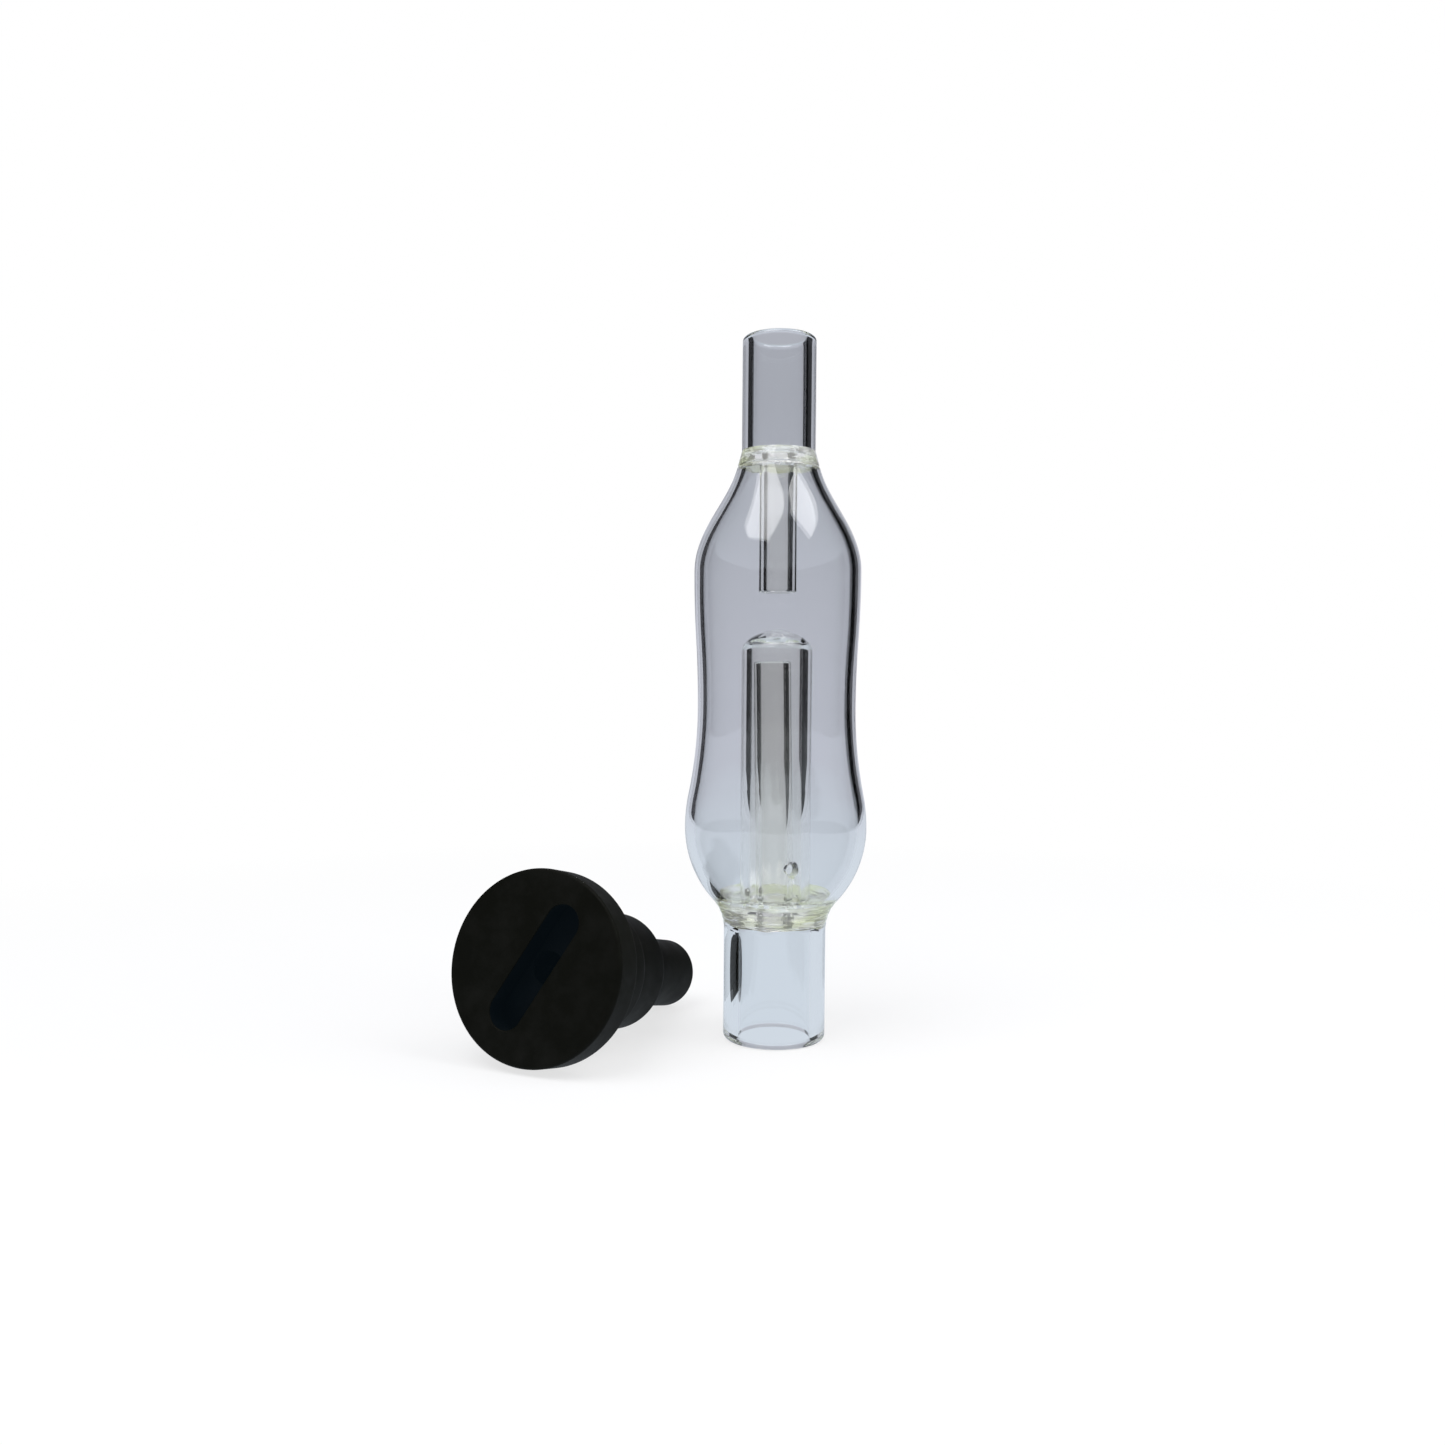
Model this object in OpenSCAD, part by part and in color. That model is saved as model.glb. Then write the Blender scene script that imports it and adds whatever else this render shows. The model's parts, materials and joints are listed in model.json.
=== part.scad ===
// Blown glass water bubbler standing on its socket, with its moulded plug-in adapter
// lying beside it. Sizes are in millimetres. +Z is up, the glass stands on Z = 0 and
// its centre line is the Z axis. +Y is away from the viewer.

/* [Socket] */
// Outside diameter of the socket tube that the glass stands on
socket_od = 19.1; // [17:0.1:24]
// Bore of the socket tube, which takes the adapter's nose
socket_d = 13.6; // [11:0.1:16.4]
// Length of the socket tube, from its rim to the lower seal
socket_l = 20.5; // [16:0.5:40]
// Fire-polished radius on the rims of the tubes
rim_r = 0.9; // [0.3:0.1:1]

/* [Chamber] */
// Diameter of the lower bulb at its widest
bulb_d = 34; // [28.3:0.1:41]
// Diameter of the waist between the bulbs
waist_d = 29.5; // [25:0.1:36]
// Diameter of the upper bulb at its widest
crown_d = 31.1; // [26:0.1:38]
// Diameter of the neck at the upper seal
neck_d = 15.5; // [13:0.1:19]
// Thickness of the chamber's wall
chamber_wall = 1.6; // [1:0.1:2.4]
// Height from the socket tube to the lower bulb
bulb_rise = 19.3; // [16:0.1:24]
// Height from the lower bulb to the waist
waist_rise = 22.4; // [18:0.1:27]
// Height from the waist to the upper bulb
crown_rise = 25.3; // [21:0.1:31]
// Height from the upper bulb to the neck
neck_rise = 19.1; // [15:0.1:23]

/* [Seals] */
// Height of the upper seal, from the neck to the mouthpiece tube
upper_seal_h = 3.3; // [2.7:0.1:6]
// How far the faces of both seals dip or rise towards the inner tubes
seal_dish = 1; // [0:0.1:1.5]

/* [Mouthpiece] */
// Outside diameter of the mouthpiece tube
mouth_od = 13.7; // [12:0.1:16]
// Bore of the mouthpiece tube
mouth_d = 10; // [8:0.1:11.4]
// Length of the mouthpiece tube above the upper seal
mouth_l = 21.1; // [12:0.1:60]

/* [Inner tubes] */
// Outside diameter of the drop tube
drop_od = 7; // [5.6:0.1:7.8]
// Bore of the drop tube
drop_d = 4.4; // [3:0.1:5.2]
// Gap between the end of the drop tube and the tip of the dome
drop_gap = 6.8; // [3:0.1:12]
// Outside diameter of the riser tube
riser_od = 7; // [5.8:0.1:8.4]
// Bore of the riser tube
riser_d = 4.9; // [3:0.1:5.2]
// Sideways lean of the riser tube, in degrees
riser_lean = 1; // [0:0.1:1.2]
// Gap between the top of the riser tube and the inside of the dome
riser_gap = 3.9; // [1.5:0.1:8]
// Fire-polished radius on the free ends of the inner tubes
inner_rim_r = 0.35; // [0.1:0.05:0.4]

/* [Dome] */
// Gap all round between the riser tube and the inside of the dome
dome_gap = 1.4; // [1.2:0.1:2.4]
// Thickness of the dome tube's wall
dome_wall = 1.7; // [1:0.1:1.8]
// Height of the dome tube from the chamber floor to its tip
dome_h = 50.5; // [40:0.5:60]
// Height of the rounded cap at its top
cap_h = 4.2; // [3.4:0.1:7]
// Thickness of the closed end at the tip
cap_wall = 2.2; // [1.7:0.1:3.2]
// Height of the rounded end of the dome's inside
cap_inner_h = 1.3; // [0.8:0.1:3]
// Diameter of the holes near its foot
foot_hole_d = 2.5; // [1.5:0.1:3.2]
// Height of those holes above the chamber floor
foot_hole_rise = 6.2; // [3:0.1:8]
// Number of holes
foot_holes = 1; // [1:1:6]
// Direction of the first hole, in degrees from +X
foot_hole_turn = -64; // [-180:1:180]

/* [Adapter] */
// Diameter of the flange
flange_d = 34; // [28:0.1:42]
// Thickness of the flange
flange_t = 6; // [5.8:0.1:9]
// Rounding of the flange's edges
flange_edge_r = 0.5; // [0.2:0.1:1.5]
// Diameter of the shoulder behind the flange
shoulder_d = 24.6; // [23:0.1:27]
// Length of the shoulder
shoulder_l = 12.6; // [8:0.1:16]
// Diameter of the step in front of the nose
step_d = 21.8; // [19:0.1:22.8]
// Length of the step
step_l = 10.8; // [6:0.1:14]
// Rounding of the shoulder's and the step's edges
step_edge_r = 0.8; // [0.2:0.1:1]
// Length of the nose
nose_l = 22.6; // [14:0.1:28]
// Rounding of the nose's end
nose_edge_r = 1.2; // [0.4:0.1:1.6]
// Radial clearance of the nose in the socket
nose_fit = 0.1; // [0.02:0.01:0.4]
// Length of the slot in the flange, over its round ends
slot_l = 24.6; // [16:0.1:26]
// Width of the slot
slot_w = 6.6; // [5:0.1:8]
// Depth of the slot
slot_depth = 5; // [3:0.1:5]
// Turn of the slot about the adapter's axis, in degrees from upright
slot_turn = 30; // [-90:1:90]
// Bore that runs from the slot to the end of the nose
passage_d = 6; // [3:0.1:8]

/* [Where the adapter lies] */
// Distance of the flange's face to the side of the lower bulb
adapter_aside = 25.2; // [25:0.05:60]
// Place of the flange's face, front to back
adapter_y = -21.8; // [-60:0.1:0]
// Turn of the adapter away from straight back, in degrees
adapter_turn = 24; // [0:1:30]

/* [Hidden] */
$fn = 96;

// Straight pieces in each bend of the chamber's outline, and in each small rounding
bend_steps = 6;
edge_steps = 4;

// Share of each rise taken by the bend at its lower end
bulb_share = 0.3;
waist_share = 0.28;
crown_share = 0.5;

// How far the shoulder keeps each end's direction, as a share of its rise
crown_pull = 0.4;
neck_pull = 0.35;

// Heights up the glass, from the table
bulb_z = socket_l + bulb_rise;
waist_z = bulb_z + waist_rise;
crown_z = waist_z + crown_rise;
neck_z = crown_z + neck_rise;
mouth_z = neck_z + upper_seal_h;
top_z = mouth_z + mouth_l;

// Stations of the glass's outline, each a radius and a height
socket_top = [socket_od / 2, socket_l];
bulb = [bulb_d / 2, bulb_z];
waist = [waist_d / 2, waist_z];
crown = [crown_d / 2, crown_z];
neck = [neck_d / 2, neck_z];
mouth_foot = [mouth_od / 2, mouth_z];

// The lower seal ends where the outline turns from hollow to round
foot_outer = bend(socket_top, bulb, bulb_share, 0);
foot_inner = bend(socket_top, bulb, bulb_share, chamber_wall);
seam_outer = foot_outer[bend_steps];
seam_inner = foot_inner[bend_steps];
floor_z = seam_inner[1] - seal_dish;

// The shoulder runs straight on into the upper seal's cone
neck_lean = atan((neck_d - mouth_od) / 2 / upper_seal_h);
neck_inner = shoulder(chamber_wall)[2 * bend_steps];

dome_od = riser_od + 2 * (dome_gap + dome_wall);
dome_tip_z = floor_z + dome_h;
cap_z = dome_tip_z - cap_h;
drop_end_z = dome_tip_z + drop_gap;
drop_top_z = mouth_z - seal_dish;
riser_foot_z = socket_l + seal_dish;
riser_l = dome_tip_z - cap_wall - riser_gap - riser_foot_z;

// The adapter's place, and its stations along its axis from the flange's face
adapter_x = -bulb_d / 2 - adapter_aside;
nose_d = socket_d - 2 * nose_fit;
shoulder_end = flange_t + shoulder_l;
step_end = shoulder_end + step_l;
adapter_l = step_end + nose_l;

// It rests on the flange's back edge and on the rounded end of the nose
rest_run = (adapter_l - nose_edge_r) - (flange_t - flange_edge_r);
rest_drop = (flange_d / 2 - flange_edge_r) - (nose_d / 2 - nose_edge_r);
rest_span = sqrt(rest_run * rest_run + rest_drop * rest_drop);
adapter_tilt = atan(rest_drop / rest_run) - asin((nose_edge_r - flange_edge_r) / rest_span);
adapter_z = flange_edge_r + (flange_d / 2 - flange_edge_r) * cos(adapter_tilt)
    + (flange_t - flange_edge_r) * sin(adapter_tilt);

// Points from p up to q along two bends that meet smoothly, both upright at their ends.
// share is the lower bend's part of the rise, and inset moves the line in by a wall.
function bend(p, q, share, inset) =
    let (
        side = q[0] < p[0] ? -1 : 1,
        dr = max(abs(q[0] - p[0]), 0.001),
        dz = q[1] - p[1],
        turn = 2 * atan(dr / dz),
        radius = (dr * dr + dz * dz) / (2 * dr)
    )
    [for (i = [0 : 2 * bend_steps])
        let (
            low = i <= bend_steps,
            a = turn * (low ? i : 2 * bend_steps - i) / bend_steps,
            r = radius * (low ? share : 1 - share),
            edge = low
                ? [p[0] + side * r * (1 - cos(a)), p[1] + r * sin(a)]
                : [q[0] - side * r * (1 - cos(a)), q[1] - r * sin(a)]
        )
        edge - inset * [cos(a), -side * sin(a)]
    ];

// Points up the shoulder, upright at the crown and leaning in at the neck, moved in by inset
function shoulder(inset) =
    let (
        low = crown + [0, crown_pull * neck_rise],
        high = neck + neck_pull * neck_rise * [sin(neck_lean), -cos(neck_lean)]
    )
    [for (i = [0 : 2 * bend_steps])
        let (
            t = i / (2 * bend_steps),
            s = 1 - t,
            edge = s * s * s * crown + 3 * s * s * t * low + 3 * s * t * t * high
                + t * t * t * neck,
            way = s * s * (low - crown) + 2 * s * t * (high - low) + t * t * (neck - high)
        )
        edge - inset * [way[1], -way[0]] / norm(way)
    ];

// The points of a list from the given one to its last
function from(list, first) = [for (i = [first : len(list) - 1]) list[i]];

function backwards(list) = [for (i = [len(list) - 1 : -1 : 0]) list[i]];

// Points on an arc about [r, z]
function arc(r, z, radius, start, end) =
    [for (i = [0 : edge_steps])
        let (a = start + (end - start) * i / edge_steps)
        [r + radius * cos(a), z + radius * sin(a)]
    ];

// The chamber's side above the lower seal, moved in by inset
function chamber_side(inset) = concat(
    from(bend(socket_top, bulb, bulb_share, inset), bend_steps),
    from(bend(bulb, waist, waist_share, inset), 1),
    from(bend(waist, crown, crown_share, inset), 1),
    from(shoulder(inset), 1)
);

// The dome's side and cap, from its foot up to its slightly pointed tip
function dome_side(radius, cap, tip) = concat(
    [[radius, floor_z]],
    [for (i = [0 : 8])
        let (a = 90 * i / 8)
        [radius * pow(cos(a), 4 / 3), tip - cap + cap * sin(a)]
    ]
);

module lathe(points) {
    rotate_extrude() polygon(points);
}

// A tube with a fire-polished top rim, no rounder than its wall allows
module tube(outer_d, inner_d, low, high, rounding) {
    rim = min(rounding, 0.2 * (outer_d - inner_d));
    lathe(concat(
        [[inner_d / 2, low], [outer_d / 2, low]],
        arc(outer_d / 2 - rim, high - rim, rim, 0, 90),
        arc(inner_d / 2 + rim, high - rim, rim, 90, 180)
    ));
}

// Puts what follows on the riser's leaning axis, with its foot at the origin
module on_riser() {
    translate([0, 0, riser_foot_z]) rotate([0, -riser_lean, 0]) children();
}

// Lays the adapter down, with its axis running from the flange's face to the nose
module lay_down() {
    translate([adapter_x, adapter_y, adapter_z])
        rotate([0, 0, -adapter_turn])
            rotate([-90 - adapter_tilt, 0, 0])
                children();
}

module socket_tube() {
    color([0.80, 0.84, 0.87, 0.4])
        translate([0, 0, socket_l])
            mirror([0, 0, 1])
                tube(socket_od, socket_d, 0, socket_l, rim_r);
}

module lower_seal() {
    side = [for (i = [0 : bend_steps]) foot_outer[i]];
    color([0.85, 0.87, 0.76, 0.6])
        difference() {
            lathe(concat(
                side,
                [seam_inner, [dome_od / 2, floor_z], [0, floor_z]],
                [[0, riser_foot_z], [riser_od / 2, riser_foot_z], [socket_d / 2, socket_l]]
            ));
            on_riser() translate([0, 0, -socket_l / 2])
                cylinder(d = riser_od, h = socket_l + floor_z);
        }
}

module chamber() {
    color([0.66, 0.68, 0.72, 0.35])
        lathe(concat(chamber_side(0), backwards(chamber_side(chamber_wall))));
}

module upper_seal() {
    color([0.80, 0.85, 0.82, 0.6])
        lathe([
            neck, mouth_foot, [mouth_d / 2, mouth_z], [drop_od / 2, drop_top_z],
            [drop_od / 2, neck_z + seal_dish], neck_inner
        ]);
}

module mouthpiece_tube() {
    color([0.66, 0.67, 0.70, 0.4])
        tube(mouth_od, mouth_d, mouth_z, top_z, rim_r);
}

module drop_tube() {
    color([0.75, 0.77, 0.80, 0.4])
        translate([0, 0, drop_top_z])
            mirror([0, 0, 1])
                tube(drop_od, drop_d, 0, drop_top_z - drop_end_z, inner_rim_r);
}

module riser_tube() {
    color([0.75, 0.77, 0.80, 0.4])
        on_riser() tube(riser_od, riser_d, 0, riser_l, inner_rim_r);
}

module percolator_dome() {
    color([0.72, 0.74, 0.77, 0.4])
        difference() {
            lathe(concat(
                dome_side(dome_od / 2, cap_h, dome_tip_z),
                backwards(dome_side(dome_od / 2 - dome_wall, cap_inner_h,
                    dome_tip_z - cap_wall))
            ));
            for (i = [0 : foot_holes - 1])
                rotate([0, 0, foot_hole_turn + 360 * i / foot_holes])
                    translate([0, 0, floor_z + foot_hole_rise])
                        rotate([0, 90, 0])
                            cylinder(d = foot_hole_d, h = dome_od, $fn = 48);
        }
}

module adapter_blank() {
    lathe(concat(
        [[0, 0]],
        arc(flange_d / 2 - flange_edge_r, flange_edge_r, flange_edge_r, -90, 0),
        arc(flange_d / 2 - flange_edge_r, flange_t - flange_edge_r, flange_edge_r, 0, 90),
        [[shoulder_d / 2, flange_t]],
        arc(shoulder_d / 2 - step_edge_r, shoulder_end - step_edge_r, step_edge_r, 0, 90),
        [[step_d / 2, shoulder_end]],
        arc(step_d / 2 - step_edge_r, step_end - step_edge_r, step_edge_r, 0, 90),
        [[nose_d / 2, step_end]],
        arc(nose_d / 2 - nose_edge_r, adapter_l - nose_edge_r, nose_edge_r, 0, 90),
        [[0, adapter_l]]
    ));
}

module slot_cut() {
    reach = (slot_l - slot_w) / 2;
    rotate([0, 0, slot_turn]) translate([0, 0, -slot_depth]) {
        for (s = [-1, 1]) translate([0, s * reach, 0])
            cylinder(d = slot_w, h = 2 * slot_depth);
        translate([-slot_w / 2, -reach, 0])
            cube([slot_w, 2 * reach, 2 * slot_depth]);
    }
}

module adapter() {
    color([0.09, 0.09, 0.08])
        lay_down() difference() {
            adapter_blank();
            slot_cut();
            cylinder(d = passage_d, h = 3 * adapter_l, center = true);
        }
}

socket_tube();
lower_seal();
chamber();
upper_seal();
mouthpiece_tube();
drop_tube();
riser_tube();
percolator_dome();
adapter();
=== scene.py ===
"""Blown glass water bubbler on its socket, with its moulded adapter lying beside it.

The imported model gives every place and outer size. Each operator makes one piece, or a
group of like pieces, in metres. +Z is up and the glass's centre line is the Z axis.
"""

import json
import math

import bpy
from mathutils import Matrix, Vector


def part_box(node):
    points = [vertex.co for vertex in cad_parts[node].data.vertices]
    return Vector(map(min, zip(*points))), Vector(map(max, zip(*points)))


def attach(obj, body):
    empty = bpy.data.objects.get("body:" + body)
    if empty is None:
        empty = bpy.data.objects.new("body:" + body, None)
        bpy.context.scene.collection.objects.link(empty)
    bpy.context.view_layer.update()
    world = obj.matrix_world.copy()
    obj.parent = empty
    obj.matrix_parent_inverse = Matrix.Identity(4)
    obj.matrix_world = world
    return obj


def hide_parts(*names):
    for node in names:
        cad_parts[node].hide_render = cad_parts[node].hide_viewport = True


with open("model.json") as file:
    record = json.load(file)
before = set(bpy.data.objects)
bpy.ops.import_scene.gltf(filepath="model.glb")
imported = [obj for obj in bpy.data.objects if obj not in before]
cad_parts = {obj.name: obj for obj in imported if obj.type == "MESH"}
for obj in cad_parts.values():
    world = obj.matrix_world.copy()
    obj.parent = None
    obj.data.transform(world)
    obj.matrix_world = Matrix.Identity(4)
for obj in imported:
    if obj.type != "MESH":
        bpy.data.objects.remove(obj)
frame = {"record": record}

bl_info = {
    "name": "Glass Bubbler",
    "version": (1, 0, 0),
    "blender": (4, 5, 0),
    "location": "View3D > Sidebar > Bubbler",
    "description": "Builds a blown glass water bubbler and its push-in adapter",
    "category": "Add Mesh",
}

MM = 0.001
TURN_STEPS = 144
BEND_STEPS = 24
RIM_STEPS = 10
MERGE_DISTANCE = 1e-6
SMOOTH_ANGLE = math.radians(35)
SAME_PLACE = 2e-5

# A loop of edges this far from each rounding keeps the long faces beside it flat
GUARD = 0.2 * MM
ADAPTER_GUARD = 0.3 * MM

# Share of each rise taken by the bend at its lower end
BULB_SHARE = 0.3
WAIST_SHARE = 0.28
CROWN_SHARE = 0.5

# How far the shoulder keeps each end's direction, as a share of its rise
CROWN_PULL = 0.4
NECK_PULL = 0.35

# Size of the lumps in the lower seal, the upper seal and the dome's cap
LOWER_GRAIN = 3.5 * MM
UPPER_GRAIN = 1.8 * MM
CAP_GRAIN = 3.6 * MM

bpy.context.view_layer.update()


def mount(name):
    """The record's mount of that name: its place, its axis and its radius in metres."""
    for entry in frame["record"]["mounts"]:
        if entry["name"] == name:
            radius = entry["dims"].get("r_mm", 0) * MM
            return Vector(entry["pos_m"]), Vector(entry["axis"]), radius
    raise KeyError(name)


SOCKET_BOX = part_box("socket_tube")
CHAMBER_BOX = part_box("chamber")
UPPER_SEAL_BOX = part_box("upper_seal")
MOUTH_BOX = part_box("mouthpiece_tube")
DROP_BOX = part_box("drop_tube")
RISER_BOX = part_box("riser_tube")
DOME_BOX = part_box("percolator_dome")
SLOT_PLACE, SLOT_AXIS, _ = mount("device_slot")


def length(name, default, about, low=0.0):
    """A size in metres that the panel shows."""
    return bpy.props.FloatProperty(
        name=name, description=about, default=default, min=low, unit="LENGTH", precision=5
    )


def tint(name, default, about):
    """A colour that the panel shows."""
    return bpy.props.FloatVectorProperty(
        name=name, description=about, default=default, size=3, min=0, max=1, subtype="COLOR"
    )


# ---------------------------------------------------------------- settings

class BubblerGlassSizes(bpy.types.PropertyGroup):
    """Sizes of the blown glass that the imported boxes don't give."""

    wall: length("Chamber wall", 1.6 * MM, "Thickness of the chamber's wall")
    bulb_rise: length("Bulb rise", 19.3 * MM, "Height from the socket tube to the lower bulb")
    waist_rise: length("Waist rise", 22.4 * MM, "Height from the lower bulb to the waist")
    crown_rise: length("Crown rise", 25.3 * MM, "Height from the waist to the upper bulb")
    waist_radius: length("Waist radius", 14.75 * MM, "Radius of the waist between the bulbs")
    crown_radius: length("Crown radius", 15.55 * MM, "Radius of the upper bulb")
    dish: length("Seal dish", 1.0 * MM, "How far the seals' faces dip or rise")
    seal_rise: length("Upper seal height", 3.3 * MM, "Height of the upper seal's outside")
    rim: length("Rim rounding", 0.9 * MM, "Fire-polished radius on the tube rims")
    inner_rim: length("Inner rim rounding", 0.35 * MM, "Rounding of the inner tubes' ends")
    drop_bore: length("Drop tube bore", 2.2 * MM, "Radius of the drop tube's bore")
    riser_bore: length("Riser bore", 2.45 * MM, "Radius of the riser tube's bore")
    riser_radius: length("Riser radius", 3.5 * MM, "Outside radius of the riser tube")
    riser_lean: bpy.props.FloatProperty(
        name="Riser lean", description="Sideways lean of the riser tube",
        default=math.radians(1.0), subtype="ANGLE",
    )
    dome_wall: length("Dome wall", 1.7 * MM, "Thickness of the percolator dome")
    dome_cap: length("Dome cap", 4.2 * MM, "Height of the dome's rounded cap")
    cap_wall: length("Cap thickness", 2.2 * MM, "Thickness of the dome's closed end at its tip")
    cap_inner: length("Inner cap", 1.3 * MM, "Height of the rounded end of the dome's inside")
    hole_radius: length("Foot hole radius", 1.25 * MM, "Radius of the hole near its foot")
    hole_flare: length("Foot hole flare", 0.7 * MM, "Rounding of the hole's outer edge")
    hole_rise: length("Foot hole height", 6.2 * MM, "Height of that hole above the floor")
    hole_count: bpy.props.IntProperty(
        name="Foot holes", description="Number of holes near the dome's foot", default=1, min=1
    )
    hole_turn: bpy.props.FloatProperty(
        name="First hole", description="Direction of the first hole, from +X",
        default=math.radians(-64), subtype="ANGLE",
    )
    underside_rise: length(
        "Underside rise", 1.0 * MM, "How far the lower seal's underside is sunk in its tube"
    )
    crease: length("Seal crease", 0.16 * MM, "Depth of the crease under the upper seal")
    ripple: length("Seal ripple", 0.06 * MM, "Depth of the rings melted into the seals")
    lump: length("Seal lumps", 0.5 * MM, "Depth of the seals' uneven lumps")


class BubblerAdapterSizes(bpy.types.PropertyGroup):
    """Sizes of the moulded adapter along its axis, from the flange's face."""

    flange_radius: length("Flange radius", 17.0 * MM, "Radius of the round flange")
    flange_depth: length("Flange thickness", 6.0 * MM, "Thickness of the flange")
    flange_edge: length("Flange edge", 0.5 * MM, "Rounding of the flange's edges")
    shoulder_radius: length("Shoulder radius", 12.3 * MM, "Radius of the shoulder")
    shoulder_length: length("Shoulder length", 12.6 * MM, "Length of the shoulder")
    step_radius: length("Step radius", 10.9 * MM, "Radius of the step before the nose")
    step_length: length("Step length", 10.8 * MM, "Length of the step")
    step_edge: length("Step edge", 0.8 * MM, "Rounding of the shoulder and the step")
    nose_length: length("Nose length", 22.6 * MM, "Length of the nose")
    nose_edge: length("Nose edge", 1.2 * MM, "Rounding of the nose's end")
    passage: length("Passage radius", 3.0 * MM, "Radius of the bore along the axis")
    slot_length: length("Slot length", 24.6 * MM, "Length of the slot over its ends")
    slot_width: length("Slot width", 6.6 * MM, "Width of the slot")
    slot_depth: length("Slot depth", 5.0 * MM, "Depth of the slot")
    slot_edge: length("Slot edge", 0.25 * MM, "Rounding of the slot's mouth")
    slot_turn: bpy.props.FloatProperty(
        name="Slot turn", description="Turn of the slot about the adapter's axis",
        default=math.radians(30), subtype="ANGLE",
    )


class BubblerLooks(bpy.types.PropertyGroup):
    """Colours of the glass, the seals, the adapter and the studio."""

    clear: tint("Clear glass", (0.955, 0.968, 0.978), "Colour seen through the clear glass")
    inner: tint("Inner glass", (0.972, 0.964, 0.938), "Colour seen through the inner tubes")
    seal: tint("Seal glass", (0.87, 0.92, 0.62), "Colour of the melted seals")
    # Strength of a painted glow: the seals emit their own colours, standing in for light scattered
    # by their bubbles.
    seal_painted_glow: bpy.props.FloatProperty(
        name="Seal glow", description="Light scattered by the bubbles in the seals",
        default=0.07, min=0.0, max=1.0,
    )
    seal_pale: tint("Seal streaks", (0.98, 0.98, 0.95), "Paler streaks in the seals")
    rubber: tint("Adapter", (0.0040, 0.0042, 0.0022), "Colour of the moulded adapter")
    rubber_worn: tint("Adapter bloom", (0.0075, 0.0075, 0.0055), "Paler bloom on the adapter")
    # Slot colour: painted shade and a painted blue glow on the slot's and the passage's walls.
    slot_shade_and_glow: tint("Slot", (0.0016, 0.0030, 0.0042), "Colour deep in the slot")
    backdrop: tint("Backdrop", (0.465, 0.478, 0.53), "Paper behind the object, through the glass")
    horizon: tint("Horizon", (0.57, 0.585, 0.655), "Paper low behind the object")
    table: tint("Table", (0.65, 0.71, 0.78), "Table near the object, seen through the glass")
    paper: tint("Paper", (1.0, 1.0, 1.0), "Pale surroundings that the camera sees")


# ---------------------------------------------------------------- modelling helpers

def settings():
    scene = bpy.context.scene
    return scene.bubbler_glass, scene.bubbler_adapter, scene.bubbler_looks


def deselect_all():
    if bpy.context.object and bpy.context.object.mode != "OBJECT":
        bpy.ops.object.mode_set(mode="OBJECT")
    bpy.ops.object.select_all(action="DESELECT")


def make_active(piece):
    deselect_all()
    piece.select_set(True)
    bpy.context.view_layer.objects.active = piece


def bend(low, high, share, inset=0.0, steps=BEND_STEPS):
    """Points (radius, height) up two bends that meet smoothly, upright at both ends.

    share is the lower bend's part of the rise, and inset moves the line in by a wall.
    """
    side = -1 if high[0] < low[0] else 1
    across = max(abs(high[0] - low[0]), MERGE_DISTANCE)
    rise = high[1] - low[1]
    turn = 2 * math.atan(across / rise)
    radius = (across ** 2 + rise ** 2) / (2 * across)
    points = []
    for i in range(2 * steps + 1):
        lower = i <= steps
        a = turn * (i if lower else 2 * steps - i) / steps
        r = radius * (share if lower else 1 - share)
        if lower:
            edge = (low[0] + side * r * (1 - math.cos(a)), low[1] + r * math.sin(a))
        else:
            edge = (high[0] - side * r * (1 - math.cos(a)), high[1] - r * math.sin(a))
        points.append((edge[0] - inset * math.cos(a), edge[1] + inset * side * math.sin(a)))
    return points


def shoulder(low, high, lean, inset=0.0, steps=2 * BEND_STEPS):
    """Points up a smooth curve, upright at low and leaning in by lean at high."""
    rise = high[1] - low[1]
    keep = NECK_PULL * rise
    low_pull = (low[0], low[1] + CROWN_PULL * rise)
    high_pull = (high[0] + keep * math.sin(lean), high[1] - keep * math.cos(lean))
    points = []
    for i in range(steps + 1):
        t = i / steps
        u = 1 - t
        r, z = (
            u ** 3 * a + 3 * u * u * t * b + 3 * u * t * t * c + t ** 3 * d
            for a, b, c, d in zip(low, low_pull, high_pull, high)
        )
        across, up = (
            u * u * (b - a) + 2 * u * t * (c - b) + t * t * (d - c)
            for a, b, c, d in zip(low, low_pull, high_pull, high)
        )
        way = math.hypot(across, up)
        points.append((r - inset * up / way, z + inset * across / way))
    return points


def arc(r, z, radius, start, end, steps=RIM_STEPS):
    """Points on an arc about (r, z), between two angles in degrees."""
    turns = [math.radians(start + (end - start) * i / steps) for i in range(steps + 1)]
    return [(r + radius * math.cos(a), z + radius * math.sin(a)) for a in turns]


def sag(start, end, steps=12):
    """Points from start to end along a curve that runs level into end."""
    points = []
    for i in range(steps + 1):
        t = i / steps
        r = start[0] + (end[0] - start[0]) * t
        points.append((r, end[1] + (start[1] - end[1]) * (1 - t) ** 2))
    return points


def distinct(points):
    """The points with any that repeat the one before left out."""
    kept = [points[0]]
    for point in points[1:]:
        if math.dist(point, kept[-1]) > 2 * MERGE_DISTANCE:
            kept.append(point)
    return kept


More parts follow.
